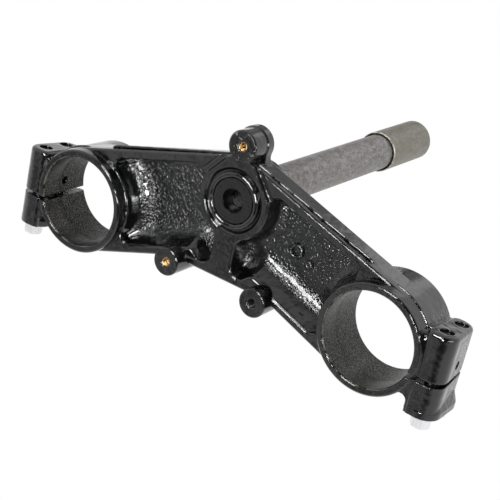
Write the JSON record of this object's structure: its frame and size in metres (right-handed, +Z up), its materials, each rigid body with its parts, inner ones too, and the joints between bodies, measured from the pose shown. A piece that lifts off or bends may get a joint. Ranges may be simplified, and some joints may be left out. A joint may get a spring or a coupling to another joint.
{
  "type": "motorcycle lower triple clamp",
  "caption": "Cast lower triple clamp with split fork clamps, pocketed arms and a hollow steering stem carrying a thread protector sleeve.",
  "frame": {"origin": "centre of the stem's lower end, at the mouth of the stand bore; the clamps' lower faces lie 5.7 mm below", "axes": "+Z up along the stem, -Y towards the front of the machine, +X towards its left side"},
  "size_m": [0.2954, 0.118, 0.2303],
  "materials": {
    "painted_casting": "gloss black paint over a cast surface",
    "stem_steel": "dull bare steel",
    "sleeve": "matt grey",
    "bolt_plating": "bright zinc plating"
  },
  "bodies": {
    "root": {"casting": "painted_casting", "steering_stem": "stem_steel", "thread_sleeve": "sleeve", "pinch_bolt_left_lower": "bolt_plating", "pinch_bolt_left_upper": "bolt_plating", "pinch_bolt_right_lower": "bolt_plating", "pinch_bolt_right_upper": "bolt_plating"}
  },
  "joints": []
}
